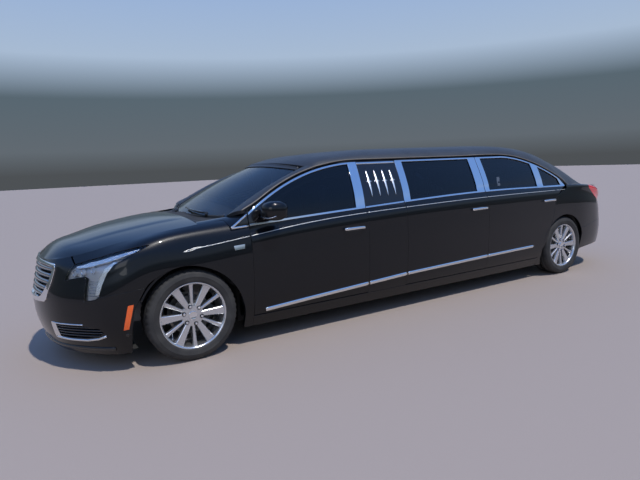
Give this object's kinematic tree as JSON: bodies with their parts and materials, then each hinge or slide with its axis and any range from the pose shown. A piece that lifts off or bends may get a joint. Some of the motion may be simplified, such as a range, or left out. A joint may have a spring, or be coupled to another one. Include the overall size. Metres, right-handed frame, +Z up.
{
  "type": "six-door stretch limousine",
  "caption": "Black stretched limousine with padded vinyl roof, hinged side doors, hood and boot lid, steered front wheels and three rows of seats.",
  "frame": {"origin": "on the ground, under the middle of the car's length and width", "axes": "+X forward, +Y to the car's left, +Z up"},
  "size_m": [6.88, 2.11, 1.585],
  "materials": {
    "black_paint": "deep gloss black",
    "roof_vinyl": "grained padded vinyl, satin",
    "tinted_glass": "dark tint",
    "bright_trim": "polished",
    "clear_lamp": "clear lens over bright reflectors",
    "red_lamp": "red lens",
    "underbody": "satin black coating",
    "running_gear": "as cast and painted",
    "engine_alloy": "cast",
    "exhaust_steel": "dull",
    "seat_leather": "black, stitched",
    "dark_trim": "grained",
    "wheel_alloy": "machined and painted silver",
    "tyre": "matt rubber"
  },
  "bodies": {
    "body": {"body_side_left": "black_paint", "body_side_right": "black_paint", "dashboard": "dark_trim", "engine": "engine_alloy", "exhaust": "exhaust_steel", "floor_pan": "underbody", "front_bumper": "black_paint", "front_fender_left": "black_paint", "front_fender_right": "black_paint", "front_seats": "seat_leather", "front_structure": "underbody", "front_suspension": "running_gear", "grille": "bright_trim", "headlamps": "clear_lamp", "middle_seat": "seat_leather", "rear_bumper": "black_paint", "rear_seat": "seat_leather", "rear_structure": "underbody", "rear_suspension": "running_gear", "rear_window": "tinted_glass", "roof": "roof_vinyl", "seat_frames": "underbody", "tail_lamps": "red_lamp", "windscreen": "tinted_glass"},
    "door_front_left": {"door_front_left": "black_paint", "window_front_left": "tinted_glass", "mirror_left": "black_paint"},
    "door_middle_left": {"door_middle_left": "black_paint", "window_middle_left": "tinted_glass"},
    "door_rear_left": {"door_rear_left": "black_paint", "window_rear_left": "tinted_glass"},
    "knuckle_left": {"knuckle_left": "running_gear"},
    "door_front_right": {"door_front_right": "black_paint", "window_front_right": "tinted_glass", "mirror_right": "black_paint"},
    "door_middle_right": {"door_middle_right": "black_paint", "window_middle_right": "tinted_glass"},
    "door_rear_right": {"door_rear_right": "black_paint", "window_rear_right": "tinted_glass"},
    "knuckle_right": {"knuckle_right": "running_gear"},
    "wheel_front_left": {"rim_front_left": "wheel_alloy", "tyre_front_left": "tyre"},
    "wheel_front_right": {"rim_front_right": "wheel_alloy", "tyre_front_right": "tyre"},
    "wheel_rear_left": {"rim_rear_left": "wheel_alloy", "tyre_rear_left": "tyre"},
    "wheel_rear_right": {"rim_rear_right": "wheel_alloy", "tyre_rear_right": "tyre"},
    "hood": {"hood": "black_paint"},
    "trunk_lid": {"trunk_lid": "black_paint"},
    "steering_wheel": {"steering_wheel": "dark_trim"}
  },
  "joints": [
    {"name": "door_front_left_hinge", "type": "hinge", "parent": "body", "child": "door_front_left", "pos_m": [1.825, 0.896, 0.6], "axis": [0, 0, -1], "range_deg": [0, 65]},
    {"name": "door_middle_left_hinge", "type": "hinge", "parent": "body", "child": "door_middle_left", "pos_m": [0.215, 0.896, 0.6], "axis": [0, 0, -1], "range_deg": [0, 65]},
    {"name": "door_rear_left_hinge", "type": "hinge", "parent": "body", "child": "door_rear_left", "pos_m": [-0.925, 0.896, 0.6], "axis": [0, 0, -1], "range_deg": [0, 65]},
    {"name": "door_front_right_hinge", "type": "hinge", "parent": "body", "child": "door_front_right", "pos_m": [1.825, -0.896, 0.6], "axis": [0, 0, 1], "range_deg": [0, 65]},
    {"name": "door_middle_right_hinge", "type": "hinge", "parent": "body", "child": "door_middle_right", "pos_m": [0.215, -0.896, 0.6], "axis": [0, 0, 1], "range_deg": [0, 65]},
    {"name": "door_rear_right_hinge", "type": "hinge", "parent": "body", "child": "door_rear_right", "pos_m": [-0.925, -0.896, 0.6], "axis": [0, 0, 1], "range_deg": [0, 65]},
    {"name": "hood_hinge", "type": "hinge", "parent": "body", "child": "hood", "pos_m": [2.297, 0, 1.062], "axis": [0, -1, 0], "range_deg": [0, 50]},
    {"name": "trunk_lid_hinge", "type": "hinge", "parent": "body", "child": "trunk_lid", "pos_m": [-3.137, 0, 1.05], "axis": [0, 1, 0], "range_deg": [0, 75]},
    {"name": "steer_left", "type": "hinge", "parent": "body", "child": "knuckle_left", "pos_m": [2.425, 0.79, 0.3515], "axis": [0, 0, 1], "range_deg": [-35, 35]},
    {"name": "steer_right", "type": "hinge", "parent": "body", "child": "knuckle_right", "pos_m": [2.425, -0.79, 0.3515], "axis": [0, 0, 1], "range_deg": [-35, 35]},
    {"name": "wheel_front_left_spin", "type": "hinge", "parent": "knuckle_left", "child": "wheel_front_left", "pos_m": [2.425, 0.79, 0.3515], "axis": [0, 1, 0], "continuous": true},
    {"name": "wheel_front_right_spin", "type": "hinge", "parent": "knuckle_right", "child": "wheel_front_right", "pos_m": [2.425, -0.79, 0.3515], "axis": [0, 1, 0], "continuous": true},
    {"name": "wheel_rear_left_spin", "type": "hinge", "parent": "body", "child": "wheel_rear_left", "pos_m": [-2.19, 0.79, 0.3515], "axis": [0, 1, 0], "continuous": true},
    {"name": "wheel_rear_right_spin", "type": "hinge", "parent": "body", "child": "wheel_rear_right", "pos_m": [-2.19, -0.79, 0.3515], "axis": [0, 1, 0], "continuous": true},
    {"name": "steering_wheel_turn", "type": "hinge", "parent": "body", "child": "steering_wheel", "pos_m": [1.52, 0.37, 0.8], "axis": [-0.9063, 0, 0.4226], "range_deg": [-500, 500]}
  ],
  "couplings": [
    {"joint": "steer_right", "follows": "steer_left", "ratio": 1},
    {"joint": "steering_wheel_turn", "follows": "steer_left", "ratio": 14}
  ]
}
